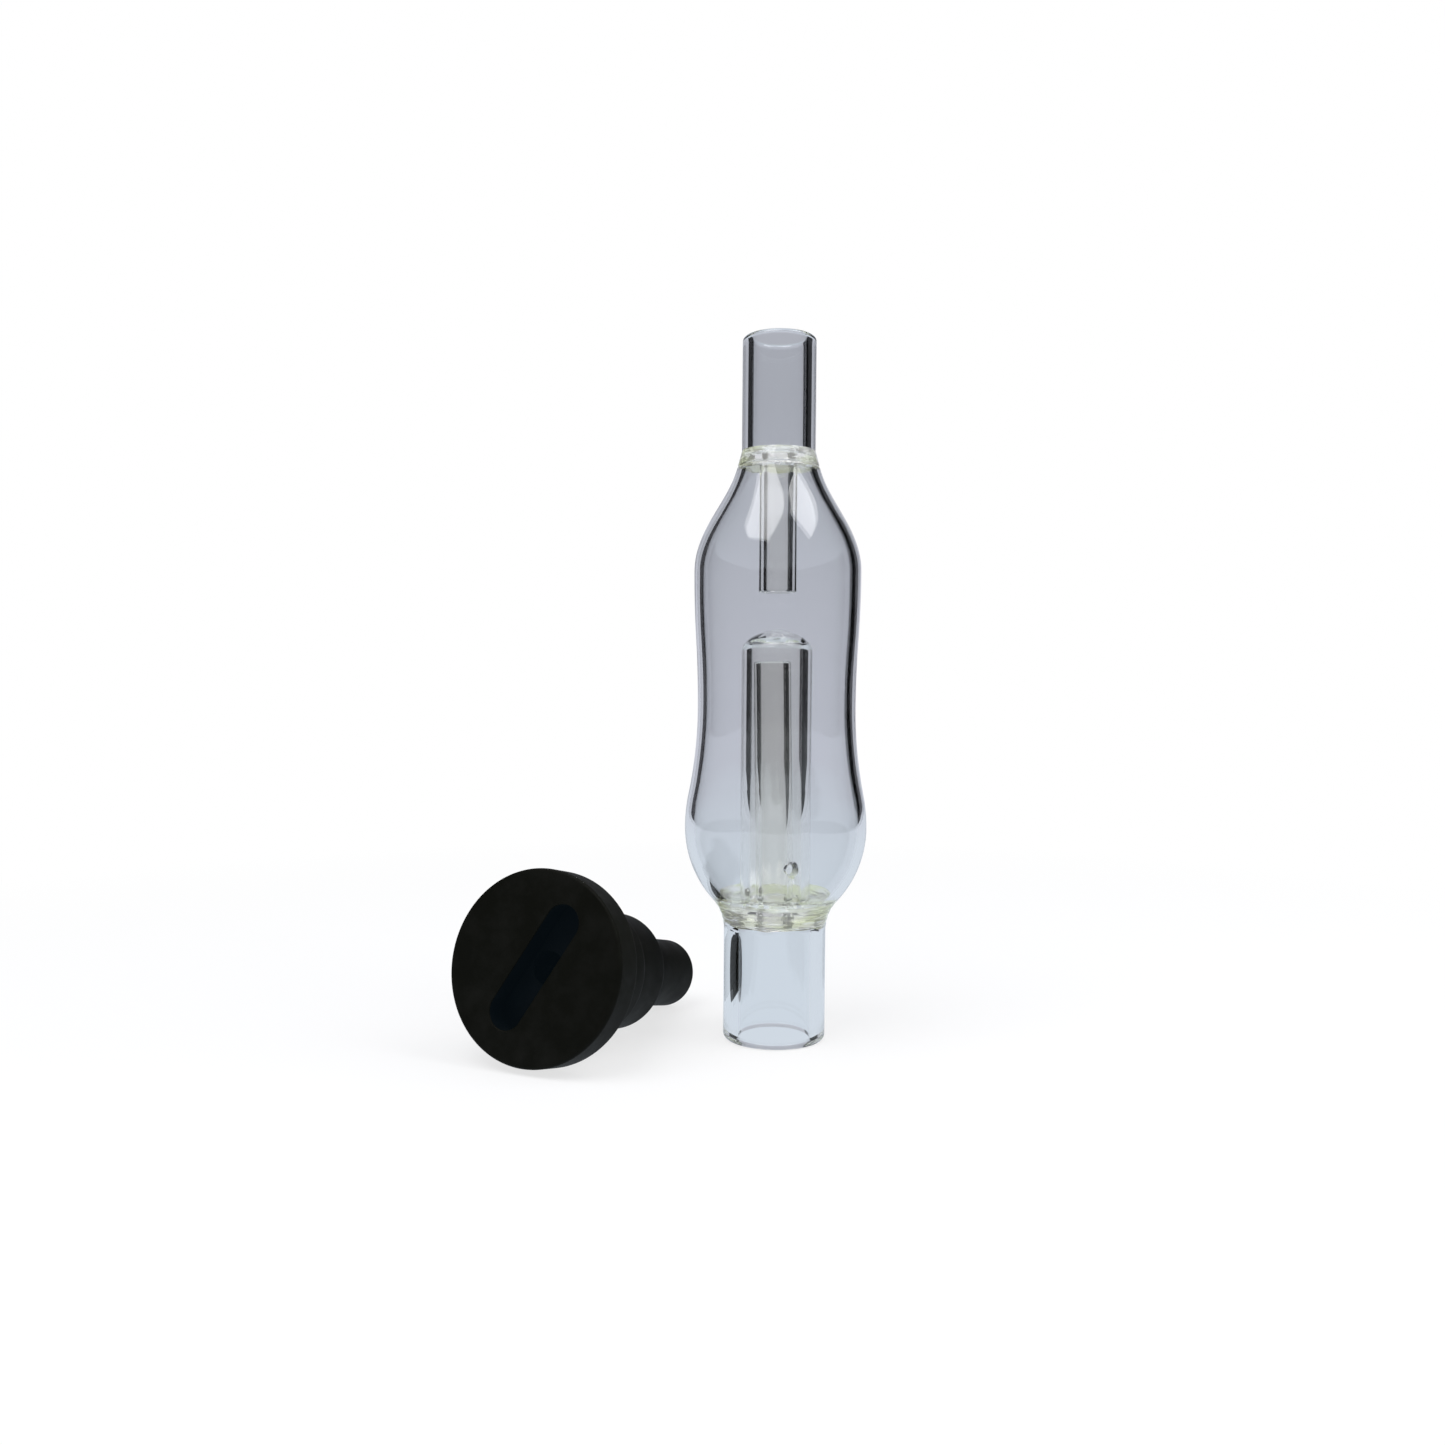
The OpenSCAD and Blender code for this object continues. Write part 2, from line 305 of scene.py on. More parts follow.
def lathe(name, outline, closed=True, steps=TURN_STEPS):
    """Extrudes one point along the outline in the XZ plane and spins it about Z."""
    outline = distinct(outline)
    if closed:
        outline = distinct(outline + outline[:1])
    deselect_all()
    bpy.ops.mesh.primitive_plane_add(size=MM, location=(0, 0, 0))
    piece = bpy.context.object
    piece.name = name
    piece.data.name = name
    bpy.ops.object.mode_set(mode="EDIT")
    bpy.ops.mesh.select_mode(type="VERT")
    bpy.ops.mesh.select_all(action="SELECT")
    bpy.ops.mesh.merge(type="CENTER")
    bpy.ops.transform.translate(value=(outline[0][0], 0, outline[0][1]))
    for here, there in zip(outline, outline[1:]):
        step = (there[0] - here[0], 0, there[1] - here[1])
        bpy.ops.mesh.extrude_region_move(TRANSFORM_OT_translate={"value": step})
    bpy.ops.mesh.select_all(action="SELECT")
    bpy.ops.mesh.remove_doubles(threshold=MERGE_DISTANCE)
    bpy.ops.mesh.spin(
        steps=steps, angle=2 * math.pi, center=(0, 0, 0), axis=(0, 0, 1), dupli=False
    )
    bpy.ops.mesh.select_all(action="SELECT")
    bpy.ops.mesh.remove_doubles(threshold=MERGE_DISTANCE)
    bpy.ops.mesh.normals_make_consistent(inside=False)
    bpy.ops.object.mode_set(mode="OBJECT")
    return piece


def select_faces(piece, test):
    """Enters face mode on the piece with only the faces that pass the test selected."""
    make_active(piece)
    bpy.ops.object.mode_set(mode="EDIT")
    bpy.ops.mesh.select_mode(type="FACE")
    bpy.ops.mesh.select_all(action="DESELECT")
    bpy.ops.object.mode_set(mode="OBJECT")
    picked = 0
    for face in piece.data.polygons:
        face.select = bool(test(face.center, face.normal))
        picked += face.select
    if not picked:
        raise RuntimeError(f"{piece.name}: no face is where one should be")
    bpy.ops.object.mode_set(mode="EDIT")


def paint_faces(piece, material, test):
    """Gives the faces that pass the test a material of their own."""
    piece.data.materials.append(material)
    piece.active_material_index = len(piece.data.materials) - 1
    select_faces(piece, test)
    bpy.ops.object.material_slot_assign()
    bpy.ops.object.mode_set(mode="OBJECT")


def cut(piece, cutter):
    """Takes the cutter's shape out of the piece, and removes the cutter."""
    make_active(piece)
    modifier = piece.modifiers.new("cut", "BOOLEAN")
    modifier.operation = "DIFFERENCE"
    modifier.solver = "EXACT"
    modifier.object = cutter
    bpy.ops.object.modifier_apply(modifier=modifier.name)
    bpy.data.objects.remove(cutter)


def lump(piece, depth, grain, weight):
    """Presses soft uneven lumps into the piece, where weight(point) is above nothing."""
    free = piece.vertex_groups.new(name="free")
    for vertex in piece.data.vertices:
        free.add([vertex.index], max(0.0, min(1.0, weight(vertex.co))), "REPLACE")
    clouds = bpy.data.textures.new(piece.name + "_lumps", "CLOUDS")
    clouds.noise_scale = grain
    clouds.noise_depth = 1
    modifier = piece.modifiers.new("lumps", "DISPLACE")
    modifier.texture = clouds
    modifier.texture_coords = "LOCAL"
    modifier.strength = depth
    modifier.mid_level = 0.5
    modifier.vertex_group = free.name
    make_active(piece)
    bpy.ops.object.modifier_apply(modifier=modifier.name)


def tube_outline(outer, bore, low, high, rim, foot_rim=0.0, stops=()):
    """A tube's section, its top rounded by rim and its foot by foot_rim."""
    side = [(outer, z) for z in stops]
    if rim:
        top = [(outer, high - rim - GUARD)] + arc(outer - rim, high - rim, rim, 0, 90)
        top += arc(bore + rim, high - rim, rim, 90, 180) + [(bore, high - rim - GUARD)]
    else:
        top = [(outer, high), (bore, high)]
    if foot_rim:
        foot = [(bore, low + foot_rim + GUARD)]
        foot += arc(bore + foot_rim, low + foot_rim, foot_rim, 180, 270)
        foot += arc(outer - foot_rim, low + foot_rim, foot_rim, 270, 360)
        foot += [(outer, low + foot_rim + GUARD)]
    else:
        foot = [(bore, low), (outer, low)]
    return foot + side + top


def finish_piece(piece, body, node):
    """Smooths the piece, attaches it to its body and hides the CAD node that it replaces."""
    make_active(piece)
    bpy.ops.object.shade_smooth_by_angle(angle=SMOOTH_ANGLE)
    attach(piece, body)
    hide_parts(node)


# ---------------------------------------------------------------- outlines of the glass

def glass_plan():
    """Stations of the blown glass that several pieces share."""
    glass, _, _ = settings()
    socket_top = (SOCKET_BOX[1].x, SOCKET_BOX[1].z)
    bulb = (CHAMBER_BOX[1].x, socket_top[1] + glass.bulb_rise)
    waist = (glass.waist_radius, bulb[1] + glass.waist_rise)
    crown = (glass.crown_radius, waist[1] + glass.crown_rise)
    neck = (UPPER_SEAL_BOX[1].x, MOUTH_BOX[0].z - glass.seal_rise)
    mouth_foot = (MOUTH_BOX[1].x, MOUTH_BOX[0].z)
    foot_outer = bend(socket_top, bulb, BULB_SHARE)
    foot_inner = bend(socket_top, bulb, BULB_SHARE, glass.wall)
    lean = math.atan2(neck[0] - mouth_foot[0], mouth_foot[1] - neck[1])
    return {
        "socket_top": socket_top, "bulb": bulb, "waist": waist, "crown": crown,
        "neck": neck, "mouth_foot": mouth_foot, "neck_lean": lean,
        "neck_inner": shoulder(crown, neck, lean, glass.wall)[-1],
        "seam_outer": foot_outer[BEND_STEPS], "seam_inner": foot_inner[BEND_STEPS],
        "foot": foot_outer[: BEND_STEPS + 1],
        "floor": DOME_BOX[0].z, "riser_foot": socket_top[1] + glass.dish,
        "drop_top": DROP_BOX[1].z,
    }


def chamber_side(plan, inset):
    """The chamber's side from the lower seam to the neck, moved in by inset."""
    return (
        bend(plan["socket_top"], plan["bulb"], BULB_SHARE, inset)[BEND_STEPS:]
        + bend(plan["bulb"], plan["waist"], WAIST_SHARE, inset)[1:]
        + bend(plan["waist"], plan["crown"], CROWN_SHARE, inset)[1:]
        + shoulder(plan["crown"], plan["neck"], plan["neck_lean"], inset)[1:]
    )


def between(start, end, steps=BEND_STEPS):
    """Points on a straight line."""
    return [
        tuple(a + (b - a) * i / steps for a, b in zip(start, end)) for i in range(steps + 1)
    ]


def cone_at(first, second):
    """A test for the faces of the ring between two stations of the outline."""
    middle = (Vector(first) + Vector(second)) / 2
    return lambda centre, normal: (
        abs(centre.z - middle.y) < SAME_PLACE
        and abs(centre.xy.length - middle.x) < 4 * SAME_PLACE
    )


def rippled(points, depth, count):
    """The points moved in and out by rings that fade at both ends."""
    low, high = points[0][1], points[-1][1]
    moved = []
    for r, z in points:
        t = (z - low) / (high - low)
        fade = math.sin(math.pi * t)
        moved.append((r + depth * fade * math.sin(2 * math.pi * count * t ** 0.9), z))
    return moved


# ---------------------------------------------------------------- materials

def new_material(name):
    material = bpy.data.materials.new(name)
    material.use_nodes = True
    nodes = material.node_tree.nodes
    return material, nodes, material.node_tree.links, nodes["Principled BSDF"]


def object_pattern(nodes, links, scale, location=(0, 0, 0)):
    """Object coordinates through a Mapping node with its own scale."""
    coords = nodes.new("ShaderNodeTexCoord")
    mapping = nodes.new("ShaderNodeMapping")
    mapping.inputs["Scale"].default_value = scale
    mapping.inputs["Location"].default_value = location
    links.new(coords.outputs["Object"], mapping.inputs["Vector"])
    return mapping.outputs["Vector"]


def noise(nodes, links, vector, scale, detail=2.0, roughness=0.5, distortion=0.0):
    texture = nodes.new("ShaderNodeTexNoise")
    texture.inputs["Scale"].default_value = scale
    texture.inputs["Detail"].default_value = detail
    texture.inputs["Roughness"].default_value = roughness
    texture.inputs["Distortion"].default_value = distortion
    links.new(vector, texture.inputs["Vector"])
    return texture.outputs["Fac"]


def span(nodes, links, value, low, high, from_low=0.3, from_high=0.7):
    """The value spread from one range onto another."""
    node = nodes.new("ShaderNodeMapRange")
    node.inputs["From Min"].default_value = from_low
    node.inputs["From Max"].default_value = from_high
    node.inputs["To Min"].default_value = low
    node.inputs["To Max"].default_value = high
    links.new(value, node.inputs["Value"])
    return node.outputs["Result"]


def blend_colours(nodes, links, value, first, second):
    node = nodes.new("ShaderNodeMix")
    node.data_type = "RGBA"
    node.inputs["A"].default_value = (*first, 1)
    node.inputs["B"].default_value = (*second, 1)
    links.new(value, node.inputs["Factor"])
    return node.outputs["Result"]


def bump(nodes, links, height, strength, distance, before=None):
    node = nodes.new("ShaderNodeBump")
    node.inputs["Strength"].default_value = strength
    node.inputs["Distance"].default_value = distance
    links.new(height, node.inputs["Height"])
    if before is not None:
        links.new(before, node.inputs["Normal"])
    return node.outputs["Normal"]


def drawn_glass(name, colour):
    """Drawn borosilicate tube: faint lengthwise draw lines, a slow wave and light smears."""
    material, nodes, links, shader = new_material(name)
    shader.inputs["Transmission Weight"].default_value = 1.0
    shader.inputs["IOR"].default_value = 1.47
    drawn = object_pattern(nodes, links, (1, 1, 0.04))
    even = object_pattern(nodes, links, (1, 1, 1))
    smears = noise(nodes, links, object_pattern(nodes, links, (1, 1, 0.5)), 160, 4.0)
    body = noise(nodes, links, even, 45, 1.0)
    links.new(
        blend_colours(nodes, links, body, colour, tuple(0.5 + 0.5 * c for c in colour)),
        shader.inputs["Base Color"],
    )
    links.new(span(nodes, links, smears, 0.0, 0.035, 0.45, 0.8), shader.inputs["Roughness"])
    lines = bump(nodes, links, noise(nodes, links, drawn, 420, 1.0), 0.25, 0.00004)
    wave = bump(nodes, links, noise(nodes, links, even, 90, 0.0), 0.25, 0.00018, lines)
    links.new(wave, shader.inputs["Normal"])
    return material


def melted_glass():
    """Glass melted into a seal: straw and pale streaks, level rings, tiny lumps and a painted glow
    of the same colours.
    """
    looks = settings()[2]
    material, nodes, links, shader = new_material("melted_glass")
    shader.inputs["Transmission Weight"].default_value = 0.86
    shader.inputs["IOR"].default_value = 1.47
    rings = object_pattern(nodes, links, (1, 1, 11))
    even = object_pattern(nodes, links, (1, 1, 1))
    patches = noise(nodes, links, object_pattern(nodes, links, (1, 1, 3)), 90, 2.0)
    streaks = noise(nodes, links, rings, 95, 2.0, 0.5, 0.4)
    straw = blend_colours(
        nodes, links, span(nodes, links, patches, 0.0, 1.0, 0.42, 0.56),
        tuple(looks.seal), tuple(looks.seal_pale),
    )
    links.new(straw, shader.inputs["Base Color"])
    # Painted glow: the straw and pale streaks are also emitted as light.
    links.new(straw, shader.inputs["Emission Color"])
    links.new(span(nodes, links, streaks, 0.0, 0.06), shader.inputs["Roughness"])
    crests = span(nodes, links, streaks, 0.0, 1.0, 0.44, 0.56)
    rippling = bump(nodes, links, crests, 0.35, 0.00012)
    lumps = bump(nodes, links, noise(nodes, links, even, 420, 2.0), 0.5, 0.0003, rippling)
    links.new(lumps, shader.inputs["Normal"])
    # Strength of the painted glow.
    shader.inputs["Emission Strength"].default_value = looks.seal_painted_glow
    return material


def fused_joint():
    """The inside of a fused joint, where light passes from glass to glass unbent."""
    material = bpy.data.materials.new("fused_joint")
    material.use_nodes = True
    nodes, links = material.node_tree.nodes, material.node_tree.links
    nodes.remove(nodes["Principled BSDF"])
    passing = nodes.new("ShaderNodeBsdfTransparent")
    links.new(passing.outputs["BSDF"], nodes["Material Output"].inputs["Surface"])
    return material


def silicone(name, base, worn):
    """Matte moulded silicone: fine mould grain and a faint bloom."""
    material, nodes, links, shader = new_material(name)
    shader.inputs["IOR"].default_value = 1.41
    shader.inputs["Specular IOR Level"].default_value = 0.12
    even = object_pattern(nodes, links, (1, 1, 1))
    bloom = noise(nodes, links, even, 220, 5.0, 0.62)
    grain = noise(nodes, links, even, 5200, 2.0, 0.7)
    links.new(
        blend_colours(nodes, links, span(nodes, links, bloom, 0.0, 1.0, 0.42, 0.72), base, worn),
        shader.inputs["Base Color"],
    )
    links.new(span(nodes, links, bloom, 0.52, 0.68), shader.inputs["Roughness"])
    skin = bump(nodes, links, grain, 0.35, 0.00003)
    links.new(bump(nodes, links, bloom, 0.2, 0.0001, skin), shader.inputs["Normal"])
    return material


def slot_shade_glow_silicone():
    """The slot's and the passage's walls: the same silicone, painted darker as painted shade,
    under a faint painted blue glow.
    """
    deep = tuple(settings()[2].slot_shade_and_glow)
    # Painted shade: the base colour is a fifth of the slot colour, darker than the adapter's
    # silicone.
    material = silicone("slot_shade_glow_silicone", tuple(0.2 * c for c in deep), deep)
    shader = material.node_tree.nodes["Principled BSDF"]
    # Painted glow: the walls emit the slot colour though they are no lamp.
    shader.inputs["Emission Color"].default_value = (*deep, 1)
    shader.inputs["Emission Strength"].default_value = 1.0
    return material


def material_of(name):
    """The finish of that name, made the first time it is asked for."""
    if name not in bpy.data.materials:
        looks = settings()[2]
        {
            "drawn_glass": lambda: drawn_glass("drawn_glass", tuple(looks.clear)),
            "inner_glass": lambda: drawn_glass("inner_glass", tuple(looks.inner)),
            "melted_glass": melted_glass,
            "fused_joint": fused_joint,
            "moulded_silicone": lambda: silicone(
                "moulded_silicone", tuple(looks.rubber), tuple(looks.rubber_worn)),
            "slot_shade_glow_silicone": slot_shade_glow_silicone,
        }[name]()
    return bpy.data.materials[name]


def dress(piece, name):
    piece.data.materials.clear()
    piece.data.materials.append(material_of(name))


def level_at(z):
    """A test for level faces at that height."""
    return lambda centre, normal: abs(centre.z - z) < SAME_PLACE and abs(normal.z) > 0.9


# ---------------------------------------------------------------- pieces

class BUBBLER_OT_tubes(bpy.types.Operator):
    """Make the socket tube and the mouthpiece tube"""

    bl_idname = "bubbler.tubes"
    bl_label = "Socket and Mouthpiece"

    def execute(self, context):
        glass, _, _ = settings()
        socket = lathe("socket_glass", tube_outline(
            SOCKET_BOX[1].x, mount("socket")[2], SOCKET_BOX[0].z, SOCKET_BOX[1].z,
            0.0, glass.rim,
        ))
        mouth = lathe("mouthpiece_glass", tube_outline(
            MOUTH_BOX[1].x, mount("mouthpiece_bore")[2], MOUTH_BOX[0].z, MOUTH_BOX[1].z,
            glass.rim,
        ))
        for piece, node, joint in (
            (socket, "socket_tube", SOCKET_BOX[1].z), (mouth, "mouthpiece_tube", MOUTH_BOX[0].z),
        ):
            dress(piece, "drawn_glass")
            paint_faces(piece, material_of("fused_joint"), level_at(joint))
            finish_piece(piece, "glass", node)
        return {"FINISHED"}


class BUBBLER_OT_chamber(bpy.types.Operator):
    """Blow the chamber, with its two bulbs, waist and shoulder"""

    bl_idname = "bubbler.chamber"
    bl_label = "Chamber"

    def execute(self, context):
        glass, _, _ = settings()
        plan = glass_plan()
        outline = chamber_side(plan, 0.0) + chamber_side(plan, glass.wall)[::-1]
        piece = lathe("chamber_glass", outline)
        dress(piece, "drawn_glass")
        joint = material_of("fused_joint")
        paint_faces(piece, joint, cone_at(plan["seam_outer"], plan["seam_inner"]))
        paint_faces(piece, joint, cone_at(plan["neck"], plan["neck_inner"]))
        finish_piece(piece, "glass", "chamber")
        return {"FINISHED"}


class BUBBLER_OT_seals(bpy.types.Operator):
    """Melt the lower and the upper seal, with their rings and lumps"""

    bl_idname = "bubbler.seals"
    bl_label = "Seals"

    def execute(self, context):
        glass, _, _ = settings()
        plan = glass_plan()
        bore = glass.riser_radius
        dome_foot = DOME_BOX[1].x
        rise, socket_bore = glass.underside_rise, mount("socket")[2]
        lower = lathe("lower_seal_glass", (
            rippled(plan["foot"], glass.ripple, 5)
            + sag(plan["seam_inner"], (dome_foot, plan["floor"]))
            + [(dome_foot - glass.dome_wall, plan["floor"]), (bore, plan["floor"])]
            + sag((bore, plan["riser_foot"] + rise), (socket_bore, plan["socket_top"][1] + rise))
            + [(socket_bore, plan["socket_top"][1])]
        ))
        drop_radius = DROP_BOX[1].x
        upper = lathe("upper_seal_glass", (
            self.creased(plan["neck"], plan["mouth_foot"], glass.crease)
            + [(mount("mouthpiece_bore")[2], plan["mouth_foot"][1])]
            + sag((mount("mouthpiece_bore")[2], plan["mouth_foot"][1]),
                  (drop_radius, plan["drop_top"]))
            + sag((drop_radius, plan["neck"][1] + glass.dish), plan["neck_inner"])
        ))
        lump(lower, glass.lump, LOWER_GRAIN, self.free_of(
            plan["foot"] + between(plan["foot"][0], (socket_bore, plan["socket_top"][1])), bore))
        lump(upper, 0.6 * glass.lump, UPPER_GRAIN,
             self.free_of(between(plan["neck"], plan["mouth_foot"]), drop_radius))
        for piece in (lower, upper):
            dress(piece, "melted_glass")
        clear_to = plan["socket_top"][1] + 1.5 * rise
        paint_faces(lower, material_of("drawn_glass"), lambda c, n: (
            c.z < clear_to and c.xy.length > socket_bore - 0.1 * MM
        ))
        joint = material_of("fused_joint")
        paint_faces(lower, joint, level_at(plan["socket_top"][1]))
        paint_faces(lower, joint, cone_at(plan["seam_outer"], plan["seam_inner"]))
        paint_faces(lower, joint, lambda c, n: (
            abs(c.z - plan["floor"]) < SAME_PLACE
            and dome_foot - glass.dome_wall < c.xy.length < dome_foot
        ))
        paint_faces(lower, joint, lambda c, n: c.xy.length < bore + SAME_PLACE)
        paint_faces(upper, joint, cone_at(plan["neck"], plan["neck_inner"]))
        paint_faces(upper, joint, lambda c, n: (
            abs(c.z - plan["mouth_foot"][1]) < SAME_PLACE and n.z > 0.9
            and c.xy.length > mount("mouthpiece_bore")[2]
        ))
        paint_faces(upper, joint, lambda c, n: c.xy.length < drop_radius + SAME_PLACE)
        finish_piece(lower, "glass", "lower_seal")
        finish_piece(upper, "glass", "upper_seal")
        return {"FINISHED"}

    def creased(self, low, high, depth, width=0.35 * MM):
        """The seal's cone, with a narrow crease pressed in just above its foot."""
        points = []
        for r, z in between(low, high, 3 * BEND_STEPS):
            up = (z - low[1]) / width
            if 0 < up < 2:
                r -= depth * math.sin(math.pi * up / 2) ** 2
            points.append((r, z))
        return points

    def free_of(self, side, bore):
        """How freely a point may move: not at all on the outside or at the inner tube."""
        def weight(point):
            across = point.xy.length
            outer = min(math.hypot(across - r, point.z - z) for r, z in side)
            return min(outer, across - bore) / MM
        return weight


class BUBBLER_OT_inner_tubes(bpy.types.Operator):
    """Make the drop tube and the leaning riser tube"""

    bl_idname = "bubbler.inner_tubes"
    bl_label = "Drop Tube and Riser"

    def execute(self, context):
        glass, _, _ = settings()
        plan = glass_plan()
        joint = material_of("fused_joint")

        neck_ring = plan["neck"][1] + glass.dish
        drop = lathe("drop_tube_glass", tube_outline(
            DROP_BOX[1].x, glass.drop_bore, DROP_BOX[0].z, DROP_BOX[1].z, glass.inner_rim,
            glass.inner_rim, [neck_ring],
        ))
        dress(drop, "inner_glass")
        paint_faces(drop, joint, lambda c, n: (
            c.z > neck_ring and c.xy.length > DROP_BOX[1].x - 2 * SAME_PLACE
        ))

        lift = RISER_BOX[1].z - plan["riser_foot"] - (
            glass.riser_radius * math.sin(glass.riser_lean))
        riser_top = plan["riser_foot"] + lift / math.cos(glass.riser_lean)
        riser = lathe("riser_glass", tube_outline(
            glass.riser_radius, glass.riser_bore, plan["riser_foot"] + glass.underside_rise,
            riser_top, glass.inner_rim, 0.0, [plan["floor"]],
        ))
        dress(riser, "inner_glass")
        paint_faces(riser, joint, lambda c, n: (
            c.z < plan["floor"] and c.xy.length > glass.riser_radius - 2 * SAME_PLACE
        ))
        make_active(riser)
        bpy.ops.object.mode_set(mode="EDIT")
        bpy.ops.mesh.select_all(action="SELECT")
        bpy.ops.transform.rotate(
            value=glass.riser_lean, orient_axis="Y", center_override=(0, 0, plan["riser_foot"])
        )
        bpy.ops.object.mode_set(mode="OBJECT")

        finish_piece(drop, "glass", "drop_tube")
        finish_piece(riser, "glass", "riser_tube")
        return {"FINISHED"}


class BUBBLER_OT_dome(bpy.types.Operator):
    """Close the percolator dome and drill the holes near its foot"""

    bl_idname = "bubbler.dome"
    bl_label = "Percolator Dome"

    def execute(self, context):
        glass, _, _ = settings()
        foot, tip, radius = DOME_BOX[0].z, DOME_BOX[1].z, DOME_BOX[1].x
        outer = self.side(radius, glass.dome_cap, tip, foot)
        inner = self.side(
            radius - glass.dome_wall, glass.cap_inner, tip - glass.cap_wall, foot
        )
        piece = lathe("dome_glass", inner[::-1] + outer, closed=False)
        for i in range(glass.hole_count):
            turn = glass.hole_turn + 2 * math.pi * i / glass.hole_count
            cut(piece, self.hole_cutter(radius, turn, foot + glass.hole_rise))
        lump(piece, 0.3 * glass.lump, CAP_GRAIN, lambda point: min(
            1.0, (point.z - (tip - glass.dome_cap)) / (0.5 * glass.dome_cap)))
        dress(piece, "inner_glass")
        paint_faces(piece, material_of("fused_joint"), level_at(foot))
        finish_piece(piece, "glass", "percolator_dome")
        return {"FINISHED"}

    def hole_cutter(self, radius, turn, height):
        """A trumpet that opens outwards, as a hole blown through a hot wall does."""
        glass, _, _ = settings()
        flare = glass.hole_flare
        small, depth = glass.hole_radius - 0.35 * flare, glass.dome_wall + MM
        outline = [(0, -depth), (small, -depth)]
        outline += arc(small + flare, -flare, flare, 180, 90)
        outline += [(small + 1.2 * flare, MM), (0, MM)]
        cutter = lathe("hole_cutter", outline, closed=False)
        cutter.rotation_euler = (0, math.pi / 2, turn)
        cutter.location = (radius * math.cos(turn), radius * math.sin(turn), height)
        make_active(cutter)
        bpy.ops.object.transform_apply(location=True, rotation=True, scale=False)
        return cutter

    def side(self, radius, cap, tip, foot, steps=30):
        """The side and the slightly pointed cap, from the foot up to the tip."""
        glass, _, _ = settings()
        clear = 2.2 * glass.hole_radius
        levels = (
            foot, foot + glass.hole_rise - clear, foot + glass.hole_rise + clear,
            tip - cap - GUARD,
        )
        points = [(radius, level) for level in levels]
        for i in range(steps + 1):
            a = math.pi / 2 * i / steps
            across = max(math.cos(a), 0.0) if i < steps else 0.0
            points.append((radius * across ** (4 / 3), tip - cap + cap * math.sin(a)))
        return points


